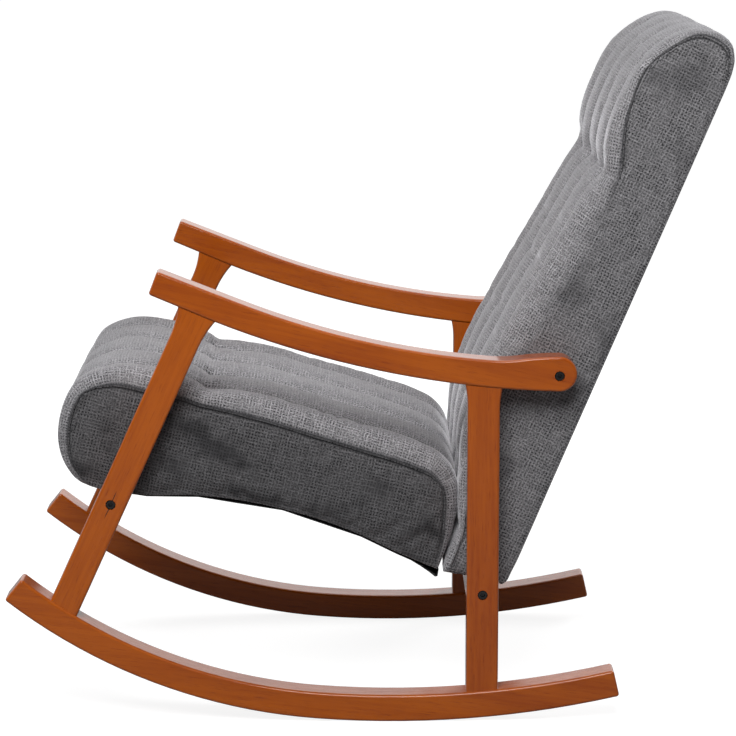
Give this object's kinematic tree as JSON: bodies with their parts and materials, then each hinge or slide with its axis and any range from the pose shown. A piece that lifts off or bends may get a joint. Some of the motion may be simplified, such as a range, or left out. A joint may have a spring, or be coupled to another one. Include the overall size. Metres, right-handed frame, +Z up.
{
  "type": "rocking chair",
  "caption": "Rocking chair on curved wooden runners, with sloping armrests and a padded seat and high padded back sewn in channels.",
  "frame": {"origin": "on the floor, under the middle of the chair's overall box", "axes": "+Z up, the chair faces -Y, +X towards the sitter's left"},
  "size_m": [0.596, 1.0043, 0.9649],
  "materials": {
    "wood_frame": "orange-brown stained wood under a glossy clear lacquer",
    "dowel_wood": "plain turned wood",
    "inner_wood": "sawn and planed, unfinished",
    "black_bolt": "black oxide, slightly glossy",
    "zinc_steel": "zinc plated",
    "spring_steel": "drawn spring wire",
    "grey_fabric": "coarse grey woven chenille with a soft sheen",
    "foam": "open cell polyurethane foam",
    "dust_cloth": "thin black non-woven cloth",
    "webbing": "woven elastic webbing",
    "fibreboard": "plain hardboard"
  },
  "bodies": {
    "root": {"rocker_left": "wood_frame", "rocker_right": "wood_frame", "front_leg_left": "wood_frame", "front_leg_right": "wood_frame", "rear_leg_left": "wood_frame", "rear_leg_right": "wood_frame", "armrest_left": "wood_frame", "armrest_right": "wood_frame", "front_cross_rail": "wood_frame", "rear_cross_rail": "wood_frame", "frame_dowels_left": "dowel_wood", "frame_dowels_right": "dowel_wood", "rail_dowels": "dowel_wood", "seat_side_rail_left": "inner_wood", "seat_side_rail_right": "inner_wood", "seat_front_rail": "inner_wood", "seat_rear_rail": "inner_wood", "seat_corner_blocks": "inner_wood", "back_post_left": "inner_wood", "back_post_right": "inner_wood", "back_bottom_rail": "inner_wood", "back_middle_rail": "inner_wood", "back_top_rail": "inner_wood", "front_leg_bolts": "black_bolt", "rear_leg_bolts": "black_bolt", "arm_bolts": "black_bolt", "bolt_washers": "zinc_steel", "barrel_nuts": "zinc_steel", "back_inserts": "zinc_steel", "seat_frame_screws": "zinc_steel", "seat_fixing_screws": "zinc_steel", "spring_clips": "zinc_steel", "joining_bolts": "zinc_steel", "joining_washers": "zinc_steel", "joining_nuts": "zinc_steel", "back_frame_screws": "zinc_steel", "back_post_screws": "zinc_steel", "seat_springs": "spring_steel", "seat_cover": "grey_fabric", "back_cover": "grey_fabric", "back_rear_panel": "grey_fabric", "seat_foam": "foam", "back_foam": "foam", "seat_dust_cover": "dust_cloth", "back_webbing": "webbing", "back_fibreboard": "fibreboard"}
  },
  "joints": []
}
